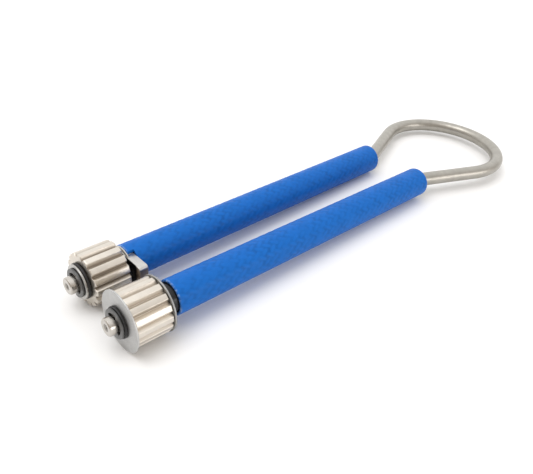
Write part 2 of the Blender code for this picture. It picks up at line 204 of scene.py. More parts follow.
class TONGS_PG_fixings(bpy.types.PropertyGroup):
    """Sizes of the rings, the washer, the clips and the stop plate."""

    clearance: length("Clearance", 0.00015, "Gap round an axle and in the notch")
    end_play: length("End play", 0.0001, "Gap between pieces that follow each other on an axle")
    left_ring_radius: length("Left ring radius", 0.0032, "Radius of the left rubber ring")
    left_ring: length("Left ring thickness", 0.0005, "Thickness of the left rubber ring")
    right_ring_radius: length("Right ring radius", 0.00375, "Radius of the right rubber ring")
    right_ring: length("Right ring thickness", 0.00055, "Thickness of the right rubber ring")
    washer_radius: length("Washer radius", 0.00365, "Radius of the right washer")
    washer: length("Washer thickness", 0.0004, "Thickness of the right washer")
    clip_radius: length("Clip radius", 0.0030, "Outer radius of a retaining clip")
    clip: length("Clip thickness", 0.0004, "Thickness of a retaining clip")
    clip_band: length("Clip band", 0.0008, "Width of a retaining clip's band between its prongs")
    clip_mouth: angle("Clip mouth", 80.0, "Opening of a retaining clip")
    clip_turn: angle("Clip turn", -48.0, "Direction that a retaining clip opens in")
    clip_prong: angle("Clip prong", 40.0, "Spread of each prong of a retaining clip")
    plate: length("Plate thickness", 0.0020, "Thickness of the stop plate")
    plate_height: length("Plate height", 0.0055, "Height of the stop plate")
    plate_reach: length("Plate reach", 0.0068, "From the right leg's axis to the plate's end")
    plate_corner: length("Plate corner", 0.0007, "Corner radius of the stop plate")
    plate_round: length("Plate edge round", 0.0002, "Rounding of the plate's edges")
    plate_gap: length("Plate gap", 0.0010, "Gap between the right roller and the plate")
    flange: length("Flange thickness", 0.0003, "Thickness of the plate's round flange")
    flange_setback: length("Flange setback", 0.0002, "How far the flange stands behind the plate's front")
    notch: length("Notch", 0.0014, "From the right leg's axis to the notch in its sleeve")
    rubber: colour("Rubber", (0.016, 0.016, 0.017), "Colour of the rubber rings")
    clip_grey: colour("Clip grey", (0.15, 0.15, 0.15), "Colour of the blackened clips")
    plate_grey: colour("Plate grey", (0.58, 0.57, 0.545), "Colour of the stop plate")
    # Colour of the painted reflection on the stop plate's sides and end.
    plate_reflection_brown: colour("Plate brown", (0.30, 0.24, 0.19), "Colour of the stop plate's stained sides")
    washer_grey: colour("Washer grey", (0.52, 0.51, 0.49), "Colour of the right washer")


class TONGS_PG_stage(bpy.types.PropertyGroup):
    """Floor, light and camera."""

    floor_size: length("Floor size", 8.0, "Side of the square floor")
    floor_tint: colour("Floor colour", (0.93, 0.93, 0.93), "Colour of the pale floor")
    azimuth: angle("Camera azimuth", 43.82, "Turn of the camera's sight from the tongs' X axis")
    elevation: angle("Camera elevation", 34.65, "Height of the camera over the legs' plane")
    roll: angle("Camera roll", -5.66, "Turn of the picture")
    distance: length("Camera distance", 0.12754, "From the camera to the point that it looks at")
    aim_along: offset("Aim along", 0.02876, "Point that the camera looks at, along the tongs")
    aim_across: offset("Aim across", -0.00345, "Point that the camera looks at, across the tongs")
    focal_pixels: number("Focal length", 569.9, "Focal length in pixels of the picture", min=1.0)
    key_watts: power("Key light", 2.0, "Power of the overhead softbox")
    side_watts: power("Side light", 1.3, "Power of the low softbox on the near side")
    sky: number("Room light", 1.28, "Strength of the room's even light", min=0.0)


GROUPS = {
    "tongs_wire": TONGS_PG_wire,
    "tongs_sleeve": TONGS_PG_sleeve,
    "tongs_roller": TONGS_PG_roller,
    "tongs_fixings": TONGS_PG_fixings,
    "tongs_stage": TONGS_PG_stage,
}


# Places along a leg, which follow from the sizes

class Places:
    """Where each piece starts along its leg, the radii that pieces share, and the legs' frames."""

    def __init__(self, scene):
        self.wire = wire = scene.tongs_wire
        self.sleeve = sleeve = scene.tongs_sleeve
        self.roller = roller = scene.tongs_roller
        self.fixings = fixings = scene.tongs_fixings
        gap = fixings.clearance
        play = fixings.end_play
        self.wire_radius = wire.diameter / 2
        self.groove_radius = self.wire_radius - wire.groove_depth
        self.bore = self.wire_radius + gap
        self.sleeve_radius = sleeve.diameter / 2
        self.sleeve_bore = self.sleeve_radius - sleeve.wall
        self.core_radius = self.sleeve_bore - gap
        self.roller_radius = roller.diameter / 2
        self.left_rear_disc = -sleeve.core_nose - play - roller.disc_thickness
        self.left_roller = self.left_rear_disc - play - roller.extent
        self.left_front_disc = self.left_roller - play - roller.disc_thickness
        self.left_ring = self.left_front_disc - play - fixings.left_ring
        self.clip = self.left_ring - play - fixings.clip
        self.tip = self.clip - wire.tip_overhang
        self.right_washer = self.clip + fixings.clip + play
        self.right_ring = self.right_washer + fixings.washer + play
        self.right_roller = self.right_ring + fixings.right_ring + play
        self.plate = self.right_roller + roller.extent + fixings.plate_gap
        self.flange = self.plate + fixings.flange_setback
        self.right_sleeve = self.flange + fixings.flange + play
        self.right_core = self.plate + fixings.plate + play
        self.flex = sleeve.extent - wire.flex_inset
        self.sleeve_end = sleeve.extent
        self.core_end = sleeve.extent - sleeve.core_inset
        self.legs = {side: leg_frame(side, self.flex) for side in SIDES}
        self.middle = middle_frame(self.legs, self.flex)


def frame_at(pivot, back, up, flex):
    """A frame whose X runs back and whose Z is up, with the flex point of its X axis at a pivot."""
    turn = Matrix((back, up.cross(back), up)).transposed().to_4x4()
    return Matrix.Translation(pivot) @ turn @ Matrix.Translation((-flex, 0, 0))


def leg_frame(side, flex):
    """From a leg's own frame to the CAD frame, taken from the leg's joints."""
    squeeze = JOINTS[side + "_leg_squeeze"]
    back = Vector(JOINTS[side + "_roller_spin"]["axis"]).normalized()
    up = (Vector(squeeze["axis"]) * SIDES[side]).normalized()
    return frame_at(squeeze["pos_m"], back, up, flex)


def middle_frame(legs, flex):
    """From the tongs' own frame, with the middle plane at Y = 0, to the CAD frame."""
    back = (legs["left"].col[0].to_3d() + legs["right"].col[0].to_3d()).normalized()
    up = legs["left"].col[2].to_3d().normalized()
    pivots = [Vector(JOINTS[side + "_leg_squeeze"]["pos_m"]) for side in SIDES]
    return frame_at((pivots[0] + pivots[1]) / 2, back, up, flex)


# Node trees

class Nodes:
    """Adds nodes to a tree."""

    def __init__(self, tree):
        self.tree = tree

    def add(self, kind, inputs=None, **settings):
        """Add a node, set its options, and set or link its inputs. Returns its outputs."""
        node = self.tree.nodes.new(kind)
        for name, value in settings.items():
            setattr(node, name, value)
        for name, value in (inputs or {}).items():
            socket = node.inputs[name]
            if isinstance(value, bpy.types.NodeSocket):
                self.tree.links.new(value, socket)
            else:
                socket.default_value = value
        return node.outputs

    def maths(self, operation, first, second=0.0, third=0.0):
        """One step of arithmetic on numbers or on other nodes' results."""
        return self.add('ShaderNodeMath', {0: first, 1: second, 2: third}, operation=operation)[0]

    def vector(self, operation, first, second=(0.0, 0.0, 0.0)):
        """One step of arithmetic on vectors. Returns the outputs for a vector and for a number."""
        return self.add('ShaderNodeVectorMath', {0: first, 1: second}, operation=operation)

    def parts(self, vector):
        """The three parts of a vector."""
        return self.add('ShaderNodeSeparateXYZ', {0: vector})

    def together(self, x=0.0, y=0.0, z=0.0):
        """A vector from its three parts."""
        return self.add('ShaderNodeCombineXYZ', {0: x, 1: y, 2: z})[0]

    def noise(self, place, scale, detail=4.0, roughness=0.55):
        """Random patches, finer where the scale is larger."""
        return self.add('ShaderNodeTexNoise', {
            "Vector": place, "Scale": scale, "Detail": detail, "Roughness": roughness,
        })[0]

    def between(self, value, span, result=(0.0, 1.0), **settings):
        """Bring a value from one range to another, held at its ends."""
        return self.add('ShaderNodeMapRange', {
            "Value": value, "From Min": span[0], "From Max": span[1],
            "To Min": result[0], "To Max": result[1],
        }, **settings)[0]

    def mix(self, share, first, second):
        """A share of the second colour in the first."""
        inputs = {0: share}
        for index, tint in ((6, first), (7, second)):
            inputs[index] = tint if isinstance(tint, bpy.types.NodeSocket) else (*tint, 1.0)
        return self.add('ShaderNodeMix', inputs, data_type='RGBA')[2]


def braid_height(nodes, place, strands, pitch):
    """Height of an uneven plain braid on a leg: two families of strands, over and under in turn."""
    axes = nodes.parts(place)
    turn = nodes.maths('ARCTAN2', axes["Z"], axes["Y"])
    round_phase = nodes.maths('MULTIPLY', turn, strands)
    along_phase = nodes.maths('MULTIPLY', nodes.maths('DIVIDE', axes["X"], pitch), FULL_TURN)
    over = nodes.maths('MULTIPLY', nodes.maths('COSINE', round_phase), 0.5)
    first = nodes.maths('COSINE', nodes.maths('ADD', round_phase, along_phase))
    second = nodes.maths('COSINE', nodes.maths('SUBTRACT', round_phase, along_phase))
    first_height = nodes.maths('MULTIPLY_ADD', first, 0.5, over)
    second_height = nodes.maths('SUBTRACT', nodes.maths('MULTIPLY', second, 0.5), over)
    crossing_softness = 0.25
    even = nodes.maths('SMOOTH_MAX', first_height, second_height, crossing_softness)
    patchy = nodes.noise(place, scale=420.0, detail=2.0, roughness=0.5)
    share = nodes.between(patchy, (0.35, 0.65), (0.3, 1.0))
    return nodes.maths('MULTIPLY_ADD', nodes.maths('SUBTRACT', even, 1.0), share, 1.0)


def new_tree(name, inputs):
    """An empty Geometry Nodes tree with named inputs of some kinds. Returns its nodes and its inputs."""
    tree = bpy.data.node_groups.new(name, 'GeometryNodeTree')
    for label, kind in {"Geometry": 'Geometry', **inputs, "Material": 'Material'}.items():
        tree.interface.new_socket(label, in_out='INPUT', socket_type='NodeSocket' + kind)
    tree.interface.new_socket("Geometry", in_out='OUTPUT', socket_type='NodeSocketGeometry')
    nodes = Nodes(tree)
    return nodes, nodes.add('NodeGroupInput')


def close_tree(nodes, geometry, material):
    """End a tree in real geometry with its material set."""
    real = nodes.add('GeometryNodeRealizeInstances', {"Geometry": geometry})[0]
    dressed = nodes.add('GeometryNodeSetMaterial', {"Geometry": real, "Material": material})[0]
    nodes.add('NodeGroupOutput', {0: dressed})
    return nodes.tree


def run_tree(piece, tree, values):
    """Run a Geometry Nodes tree on a piece, with its inputs set by identifier."""
    modifier = piece.modifiers.new(tree.name, 'NODES')
    modifier.node_group = tree
    for item in tree.interface.items_tree:
        if item.in_out == 'INPUT' and item.name in values:
            modifier[item.identifier] = values[item.name]
    settle(piece)


def settle(piece):
    """Turn a piece with modifiers into a plain mesh."""
    graph = bpy.context.evaluated_depsgraph_get()
    mesh = bpy.data.meshes.new_from_object(piece.evaluated_get(graph), depsgraph=graph)
    piece.modifiers.clear()
    old = piece.data
    piece.data = mesh
    bpy.data.meshes.remove(old)
    mesh.name = piece.name


# Shapes

def rounded(outline, reach, closed=True, least_degrees=20.0):
    """Round the corners of a flat outline that turn by more than a few degrees."""
    points = []
    total = len(outline)
    most_of_run = 0.45
    for i, corner in enumerate(outline):
        corner = Vector(corner)
        if not closed and i in (0, total - 1):
            points.append(corner)
            continue
        before = Vector(outline[i - 1]) - corner
        after = Vector(outline[(i + 1) % total]) - corner
        if math.degrees(math.pi - before.angle(after)) < least_degrees:
            points.append(corner)
            continue
        room = min(reach, before.length * most_of_run, after.length * most_of_run)
        start = corner + before.normalized() * room
        end = corner + after.normalized() * room
        for step in range(CORNER_STEPS + 1):
            t = step / CORNER_STEPS
            points.append(start * (1 - t) ** 2 + corner * (2 * t * (1 - t)) + end * t ** 2)
    return points


def spaced(outline, step):
    """Add points to a closed outline, so that no run at its largest radius is longer than a step."""
    largest = max(point[1] for point in outline)
    points = []
    for i, point in enumerate(outline):
        points.append(Vector(point))
        after = Vector(outline[(i + 1) % len(outline)])
        run = after - Vector(point)
        if min(point[1], after.y) < largest - SAME_RADIUS:
            continue
        parts = max(1, math.ceil(run.length / step))
        points.extend(Vector(point) + run * (part / parts) for part in range(1, parts))
    return points


def arc(radius, start, end, step_degrees=ARC_STEP_DEGREES, steps=None):
    """Points along an arc round the origin, from one angle to another."""
    if steps is None:
        steps = max(2, math.ceil(abs(math.degrees(end - start)) / step_degrees))
    angles = [start + (end - start) * i / steps for i in range(steps + 1)]
    return [(radius * math.cos(a), radius * math.sin(a)) for a in angles]


def join_rings(shape, first, second):
    """Fill the strip of faces between two closed rings of vertices."""
    total = len(first)
    for i in range(total):
        after = (i + 1) % total
        shape.faces.new((first[i], first[after], second[after], second[i]))


def turned(outline, segments=ROUND_SEGMENTS, hollow=True):
    """Turn an outline of (x, radius) points round the X axis: closed into a ring, or with closed ends."""
    shape = bmesh.new()
    rings = []
    for x, radius in outline:
        circle = arc(radius, 0.0, FULL_TURN, steps=segments)[:-1]
        rings.append([shape.verts.new((x, y, z)) for y, z in circle])
    for first, second in zip(rings, rings[1:]):
        join_rings(shape, first, second)
    if hollow:
        join_rings(shape, rings[-1], rings[0])
    else:
        shape.faces.new(rings[0])
        shape.faces.new(rings[-1])
    return shape


def prism(outline, start, thickness):
    """A flat plate with a (y, z) outline."""
    shape = bmesh.new()
    front = [shape.verts.new((start, y, z)) for y, z in outline]
    back = [shape.verts.new((start + thickness, y, z)) for y, z in outline]
    join_rings(shape, front, back)
    shape.faces.new(front)
    shape.faces.new(back)
    return shape


def add_object(name, data):
    """Put a new object in the scene."""
    made = bpy.data.objects.new(name, data)
    bpy.context.scene.collection.objects.link(made)
    return made


def fill_mesh(mesh, shape):
    """Put a bmesh in a mesh, with outward faces."""
    bmesh.ops.recalc_face_normals(shape, faces=shape.faces)
    shape.to_mesh(mesh)
    shape.free()


def new_piece(name, shape):
    """A named object from a bmesh."""
    mesh = bpy.data.meshes.new(name)
    fill_mesh(mesh, shape)
    return add_object(name, mesh)


def face_outward(piece):
    """Turn a piece's faces outward."""
    shape = bmesh.new()
    shape.from_mesh(piece.data)
    fill_mesh(piece.data, shape)


def modify(piece, kind, **settings):
    """Work one modifier into a piece's mesh."""
    modifier = piece.modifiers.new(kind, kind)
    for name, value in settings.items():
        setattr(modifier, name, value)
    settle(piece)


def combine(piece, shape, operation):
    """Cut a shape out of a piece, or weld it on."""
    tool = new_piece(piece.name + "_tool", shape)
    modify(piece, 'BOOLEAN', operation=operation, solver='EXACT', object=tool)
    bpy.data.objects.remove(tool)


def round_edges(piece, width):
    """Round a piece's sharp edges."""
    modify(piece, 'BEVEL', width=width, segments=BEVEL_SEGMENTS,
           limit_method='ANGLE', angle_limit=BEVEL_ANGLE)


def dress(piece, matrix, material):
    """Bring a finished piece to the CAD frame, with its place in its mesh, and give it its finish."""
    piece.data.transform(matrix)
    piece.data.materials.clear()
    piece.data.materials.append(material)
    piece.data.shade_smooth()
    piece.data.set_sharp_from_angle(angle=SHARP_ANGLE)


def seat(piece, matrix, material, body, node):
    """Dress a piece, and let it ride a body in place of a CAD node."""
    dress(piece, matrix, material)
    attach(piece, body)
    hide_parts(node)


def slip_on(places, side, name, material, node, start, thickness, radius, edge):
    """Slip a flat ring with rounded edges on a leg's wire."""
    end = start + thickness
    outline = [(start, places.bore), (start, radius), (end, radius), (end, places.bore)]
    piece = new_piece(name, turned(rounded(outline, edge)))
    seat(piece, places.legs[side], material, side + "_leg", node)


# Finishes

class Finish(Nodes):
    """A procedural material with a Principled shader."""

    def __init__(self, name, constants):
        self.material = bpy.data.materials.new(name)
        self.material.use_nodes = True
        super().__init__(self.material.node_tree)
        self.tree.nodes.clear()
        self.shader = self.tree.nodes.new('ShaderNodeBsdfPrincipled')
        self.add('ShaderNodeOutputMaterial', {"Surface": self.shader.outputs[0]})
        for label, value in constants.items():
            self.shader.inputs[label].default_value = value

    def place(self, matrix=None):
        """Object coordinates, read in a leg's own frame where one is given."""
        place = self.add('ShaderNodeTexCoord')["Object"]
        if matrix is None:
            return place
        return self.add('ShaderNodeMapping', {
            "Vector": place, "Location": matrix.translation, "Rotation": matrix.to_euler(),
        }, vector_type='TEXTURE')[0]

    def stretched(self, place, x=1.0, y=1.0, z=1.0):
        """A place with each axis multiplied, for patterns that run one way."""
        return self.vector('MULTIPLY', place, (x, y, z))[0]

    def cloudy(self, tint, place, scale, shade):
        """A tint that clouds over to a darker shade of itself."""
        clouds = self.noise(place, scale, detail=3.0)
        return self.mix(self.between(clouds, (0.35, 0.65)), darker(tint, shade), tint)

    def marked(self, base, tint, mark, span, share):
        """A base with some share of a tint where a mark is strong."""
        return self.mix(self.between(mark, span, (0.0, share)), base, tint)

    def finish(self, base, roughness, relief=None, depth=0.0):
        """Link up the shader, with a relief of some depth in metres."""
        links = {"Base Color": base, "Roughness": roughness}
        if relief is not None:
            bump = self.add('ShaderNodeBump', {"Height": relief, "Distance": depth, "Strength": 1.0})
            links["Normal"] = bump[0]
        for label, value in links.items():
            self.tree.links.new(value, self.shader.inputs[label])
        return self.material


def darker(tint, share):
    """A tint with only a share of its light."""
    return tuple(part * share for part in tint)


def drawn_wire_finish(wire):
    """Drawn steel wire: fine streaks along its length, faint cloudy toning, brighter turned tips, and
    painted shade in the end dimples.
    """
    look = Finish("drawn steel wire", {"Metallic": 1.0})
    along = look.add('ShaderNodeAttribute', attribute_name="along")["Fac"]
    around = look.parts(look.add('ShaderNodeAttribute', attribute_name="around")["Vector"])
    streak_run = 60.0
    cloud_run = 900.0
    streak_place = look.together(look.maths('MULTIPLY', along, streak_run), around[0], around[1])
    cloud_place = look.together(look.maths('MULTIPLY', along, cloud_run), around[0], around[1])
    streaks = look.noise(streak_place, scale=14.0, detail=6.0, roughness=0.65)
    base = look.cloudy(wire.tint, cloud_place, scale=0.7, shade=0.88)
    base = look.marked(base, darker(wire.tint, 0.70), streaks, (0.35, 0.7), share=0.35)
    tip = look.between(along, (wire.tip_overhang, 1.5 * wire.tip_overhang), (1.0, 0.0))
    base = look.mix(tip, base, wire.tip_tint)
    # Painted shade: the wire darkens into the centre dimple of each end.
    painted_dimple_shade = look.between(along, (-1.0, 0.0), (0.75, 0.0))
    base = look.mix(painted_dimple_shade, base, darker(wire.tint, 0.25))
    drawn = look.between(streaks, (0.3, 0.7), (0.30, 0.44))
    polish = look.maths('MULTIPLY', tip, 0.18)
    return look.finish(base, look.maths('SUBTRACT', drawn, polish), streaks, depth=0.000012)


def braid_finish(side, sleeve, matrix, front):
    """Coated braid: one blue, with painted shade in the hollows, a slightly uneven coat, faint paler streaks
    and a painted highlight in spots at the cut front.
    """
    look = Finish(side + " braided sleeve", {
        "Specular IOR Level": 0.06, "Coat Weight": 0.05, "Coat Roughness": 0.14,
    })
    place = look.place(matrix)
    height = braid_height(look, place, sleeve.strands, sleeve.strand_pitch)
    patches = look.noise(place, scale=240.0, detail=3.0)
    grain = look.noise(place, scale=5200.0, detail=3.0, roughness=0.6)
    streaks_and_glint_spots = look.noise(look.stretched(place, x=0.25), scale=1500.0, detail=5.0, roughness=0.6)
    pale_streak_blue = (0.05, 0.26, 0.70)
    # Painted shade: the blue darkens into the braid's hollows.
    blue = look.mix(look.between(height, (0.0, 0.8)), darker(sleeve.blue, 0.76), sleeve.blue)
    blue = look.marked(blue, darker(sleeve.blue, 0.86), patches, (0.4, 0.7), share=0.5)
    # Faint paler blue streaks along the sleeve.
    blue = look.marked(blue, pale_streak_blue, streaks_and_glint_spots, (0.55, 0.75), share=0.08)
    along = look.parts(place)[0]
    # Painted highlight: pale spots of light along the cut front end of the sleeve.
    at_cut = look.between(along, (front + 0.3 * sleeve.rim, front + 1.3 * sleeve.rim), (1.0, 0.0))
    painted_cut_glints = look.maths('MULTIPLY', at_cut, look.between(streaks_and_glint_spots, (0.45, 0.62), (0.05, 0.8)))
    blue = look.mix(painted_cut_glints, blue, sleeve.cut_glint_blue)
    roughness = look.between(look.maths('ADD', patches, grain), (0.75, 1.25), (0.36, 0.50))
    return look.finish(blue, roughness, grain, depth=0.000005)


def core_finish(sleeve):
    """Black tube: smooth and a little glossy, with faint drag marks and dust."""
    look = Finish("black core tube", {"Specular IOR Level": 0.38})
    place = look.place()
    marks = look.noise(look.stretched(place, x=0.15), scale=2600.0)
    dust = look.noise(place, scale=1800.0, detail=5.0, roughness=0.7)
    dust_grey = (0.07, 0.07, 0.075)
    base = look.marked(sleeve.core_black, dust_grey, dust, (0.62, 0.75), share=0.25)
    return look.finish(base, look.between(marks, (0.35, 0.65), (0.22, 0.38)), marks, depth=0.00001)


def nickel_finish(side, roller, matrix, radius, flutes):
    """Plated roller: bright lands with fine lengthwise grinding, and duller flutes with painted shade in
    their colour.
    """
    look = Finish(side + " nickel roller", {"Metallic": 1.0})
    place = look.place(matrix)
    along, across, up = look.parts(place)
    squares = [look.maths('POWER', part, 2.0) for part in (across, up)]
    level = look.maths('SQRT', look.maths('ADD', *squares))
    grinding = look.noise(look.stretched(place, x=0.04), scale=6500.0, detail=5.0, roughness=0.65)
    pits = look.noise(place, scale=3800.0, roughness=0.7)
    deepest = roller.flute_depth
    depth = look.between(level, (radius - deepest, radius - 0.15 * deepest), (1.0, 0.0))
    nearest_end = look.maths('MINIMUM', along, look.maths('SUBTRACT', roller.extent, along))
    inside = look.between(nearest_end, (0.1 * roller.edge_round, roller.edge_round))
    depth = look.maths('MULTIPLY', depth, inside)
    land = look.cloudy(roller.nickel, place, scale=420.0, shade=0.93)
    land = look.marked(land, darker(roller.nickel, 0.78), grinding, (0.45, 0.75), share=0.30)
    # Painted shade: the flute colour darkens the flutes by their depth, deepest on the right roller where it
    # faces the left one.
    base = look.mix(depth, land, flutes)
    base = look.marked(base, darker(flutes, 0.55), pits, (0.66, 0.74), share=0.4)
    dull = look.maths('MULTIPLY', depth, 0.12)
    roughness = look.maths('ADD', look.between(grinding, (0.3, 0.7), (0.28, 0.42)), dull)
    return look.finish(base, roughness, grinding, depth=0.000008)


def plain_metal_finish(name, tint, smoothness, metallic=1.0):
    """Plain metal: fine even grain, cloudy toning and a few rubbed spots."""
    look = Finish(name, {"Metallic": metallic})
    place = look.place()
    grain = look.noise(place, scale=4200.0, roughness=0.6)
    rubbed = look.noise(place, scale=1500.0, roughness=0.65)
    bright = tuple(min(1.0, part * 1.25) for part in tint)
    base = look.cloudy(tint, place, scale=500.0, shade=0.90)
    base = look.marked(base, darker(tint, 0.72), grain, (0.45, 0.75), share=0.35)
    base = look.marked(base, bright, rubbed, (0.62, 0.75), share=0.30)
    return look.finish(base, look.between(grain, (0.3, 0.7), smoothness), grain, depth=0.000010)


def plate_finish(fixings, matrix, places):
    """Milled plate: satin grey with fine marks, a painted brown reflection below its top, and painted black
    shade where the roller faces it.
    """
    look = Finish("milled plate steel", {"Metallic": 1.0})
    place = look.place(matrix)
    marks = look.noise(look.stretched(place, y=0.06), scale=5200.0, detail=5.0, roughness=0.6)
    base = look.cloudy(fixings.plate_grey, place, scale=600.0, shade=0.88)
    base = look.marked(base, darker(fixings.plate_grey, 0.72), marks, (0.45, 0.75), share=0.35)
    along, across, up = look.parts(place)
    top = fixings.plate_height / 2
    corner = fixings.plate_corner
    edge = fixings.plate_round
    radius = places.roller_radius
    # Painted reflection: brown below the plate's top face, on its sides and end.
    below = look.between(up, (top - 1.2 * corner, top - 0.4 * corner), (1.0, 0.0))
    base = look.mix(below, base, fixings.plate_reflection_brown)
    # Painted shade: black on the plate's front face, within the roller's radius, where the roller shades it.
    at_front = look.between(along, (places.plate + 0.1 * edge, places.plate + 0.8 * edge), (1.0, 0.0))
    painted_shade_by_roller = look.between(across, (-radius - edge, edge - radius))
    base = look.mix(look.maths('MULTIPLY', at_front, painted_shade_by_roller), base, fixings.rubber)
    return look.finish(base, look.between(marks, (0.3, 0.7), (0.30, 0.46)), marks, depth=0.000010)


def rubber_finish(fixings):
    """Black rubber: matt skin with a fine grain and a little dust."""
    look = Finish("black rubber ring", {"Specular IOR Level": 0.45})
    place = look.place()
    grain = look.noise(place, scale=5200.0, detail=5.0, roughness=0.65)
    dust = look.noise(place, scale=1400.0, detail=5.0, roughness=0.7)
    dust_grey = (0.060, 0.059, 0.057)
    base = look.marked(fixings.rubber, dust_grey, dust, (0.55, 0.75), share=0.4)
    return look.finish(base, look.between(grain, (0.3, 0.7), (0.38, 0.58)), grain, depth=0.000012)


def floor_finish(stage):
    """Pale matt paper with a barely visible mottle."""
    look = Finish("pale paper", {"Specular IOR Level": 0.2})
    mottle = look.noise(look.place(), scale=30.0, detail=3.0)
    base = look.mix(look.between(mottle, (0.3, 0.7)), darker(stage.floor_tint, 0.99), stage.floor_tint)
    return look.finish(base, look.between(mottle, (0.3, 0.7), (0.75, 0.85)))


# The spring wire

def wire_path(places):
    """Half of the wire in plan, from its tip to the back of the loop, as (x, y, radius) points."""
    wire = places.wire
    fixings = places.fixings
    to_middle = places.middle.inverted()
    leg_back = to_middle.to_3x3() @ places.legs["right"].col[0].to_3d()
    opening = math.atan2(leg_back.y, leg_back.x)
    along = Vector((math.cos(opening), math.sin(opening)))
    outward = Vector((-along.y, along.x))
    pivot = (to_middle @ Vector(JOINTS["right_leg_squeeze"]["pos_m"])).to_2d()
    pivot.x = places.flex

    def on_leg(place):
        return pivot + along * (place - places.flex)

    full = places.wire_radius
    slim = places.groove_radius
    play = fixings.end_play
    lip = play / 4
    groove_front = places.clip - play
    groove_back = places.clip + fixings.clip + play
    leg_start = groove_back + 6 * play
    steps = rounded([(places.tip, full - wire.tip_chamfer), (places.tip + wire.tip_chamfer, full),
                     (groove_front, full), (groove_front + lip, slim), (groove_back - lip, slim),
                     (groove_back, full), (leg_start, full)], lip, closed=False)
    points = [(*on_leg(x), radius) for x, radius in steps]
    neck_place = places.sleeve_end + wire.neck_straight
    for i in range(1, LEG_STEPS + 1):
        points.append((*on_leg(leg_start + (neck_place - leg_start) * i / LEG_STEPS), full))
    bend_centre = on_leg(neck_place) + outward * wire.neck_bend
    loop_centre = Vector((places.sleeve_end + wire.loop_setback, 0.0))
    between = loop_centre - bend_centre
    heading = math.atan2(between.y, between.x)
    heading += math.asin((wire.loop_radius + wire.neck_bend) / between.length)
    bend = arc(wire.neck_bend, opening - QUARTER, heading - QUARTER)
    loop = arc(wire.loop_radius, heading + QUARTER, 0.0, LOOP_STEP_DEGREES)
    # A point close before the end squares the wire's cut there, so that the two halves meet without a gap.
    close_by = 0.04
    loop.insert(-1, Vector(loop[-1]).lerp(Vector((loop[-1][0], loop[-2][1])), close_by))
    points.extend((bend_centre.x + x, bend_centre.y + y, full) for x, y in bend[1:])
    limb_start = Vector(points[-1][:2])
    limb_end = loop_centre + Vector(loop[0])
    for i in range(1, LIMB_STEPS):
        points.append((*limb_start.lerp(limb_end, i / LIMB_STEPS), full))
    points.extend((loop_centre.x + x, loop_centre.y + y, full) for x, y in loop)
    return points


def wire_tree():
    """Geometry Nodes: sweep a round section along a path, as thick as the path's points say."""
    nodes, inputs = new_tree("Sweep the wire", {"Sides": 'Int', "Hand": 'Float'})
    girth = nodes.add('GeometryNodeInputNamedAttribute', {"Name": "girth"}, data_type='FLOAT')["Attribute"]
    path = nodes.add('GeometryNodeMeshToCurve', {"Mesh": inputs["Geometry"]})[0]
    circle = nodes.add('GeometryNodeCurvePrimitiveCircle', {"Resolution": inputs["Sides"], "Radius": 1.0},
                       mode='RADIUS')["Curve"]
    position = nodes.add('GeometryNodeInputPosition')[0]
    handed = nodes.vector('MULTIPLY', position, nodes.together(inputs["Hand"], 1.0, 1.0))[0]
    marked = nodes.add('GeometryNodeStoreNamedAttribute', {
        "Geometry": circle, "Name": "around", "Value": handed,
    }, data_type='FLOAT_VECTOR', domain='POINT')[0]
    swept = nodes.add('GeometryNodeCurveToMesh', {
        "Curve": path, "Profile Curve": marked, "Scale": girth, "Fill Caps": True,
    })[0]
    return close_tree(nodes, swept, inputs["Material"])


def path_piece(name, points):
    """A path of edges whose points know the wire's thickness and how far along it they are."""
    mesh = bpy.data.meshes.new(name)
    spots = [Vector((x, y, 0.0)) for x, y, _ in points]
    mesh.from_pydata(spots, [(i, i + 1) for i in range(len(spots) - 1)], [])
    travelled = [0.0]
    for before, after in zip(spots, spots[1:]):
        travelled.append(travelled[-1] + (after - before).length)
    for label, values in (("girth", [radius for _, _, radius in points]), ("along", travelled)):
        mesh.attributes.new(label, 'FLOAT', 'POINT').data.foreach_set("value", values)
    return add_object(name, mesh)


def sink_dimple(piece, tip, wire):
    """Sink the centre dimple into the end cap of the wire that is nearest to its tip."""
    shape = bmesh.new()
    shape.from_mesh(piece.data)
    shape.faces.ensure_lookup_table()
    cap = min(shape.faces, key=lambda face: (face.calc_center_median() - tip).length)
    centre = cap.calc_center_median()
    inward = -cap.normal
    rim = (cap.verts[0].co - centre).length
    along = shape.verts.layers.float["along"]
    # Each ring's share of the dimple's radius and depth, and its mark: below 0 the finish paints shade into
    # the dimple.
    rings = ((1.08, 0.0, 0.0), (0.92, 0.12, -0.6), (0.45, 1.0, -1.0))
    for radius_share, depth_share, mark in rings:
        radius = wire.dimple_radius * radius_share
        depth = wire.dimple_depth * depth_share
        cap = bmesh.ops.extrude_discrete_faces(shape, faces=[cap])["faces"][0]
        shrink = radius / rim
        rim = radius
        middle = cap.calc_center_median()
        for vert in cap.verts:
            flat = middle + (vert.co - middle) * shrink
            sunk = (flat - centre).dot(inward)
            vert.co = flat + inward * (depth - sunk)
            vert[along] = mark
    shape.to_mesh(piece.data)
    shape.free()


class TONGS_OT_wire(bpy.types.Operator):
    """Bend the spring wire: the loop, both legs and both axles, as two halves that meet at the back"""

    bl_idname = "tongs.wire"
    bl_label = "Bend the spring wire"

    def execute(self, context):
        places = Places(context.scene)
        wire = places.wire
        material = drawn_wire_finish(wire)
        tree = wire_tree()
        points = wire_path(places)
        for side, sign in SIDES.items():
            half = [(x, sign * y, radius) for x, y, radius in points]
            piece = path_piece(side + "_wire", half)
            run_tree(piece, tree, {"Sides": WIRE_SIDES, "Hand": float(sign), "Material": material})
            face_outward(piece)
            sink_dimple(piece, Vector((half[0][0], half[0][1], 0.0)), wire)
            dress(piece, places.middle, material)
            bend_start = places.legs[side] @ Vector((places.sleeve_end + wire.loop_setback, 0, 0))
            bend_end = places.legs[side] @ Vector((places.flex - 2 * wire.neck_bend, 0, 0))
            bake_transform(piece, "bail", side + "_leg", start=bend_start, end=bend_end)
            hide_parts("spring_bail", side + "_leg_wire")
        return {'FINISHED'}


# Sleeves and core tubes

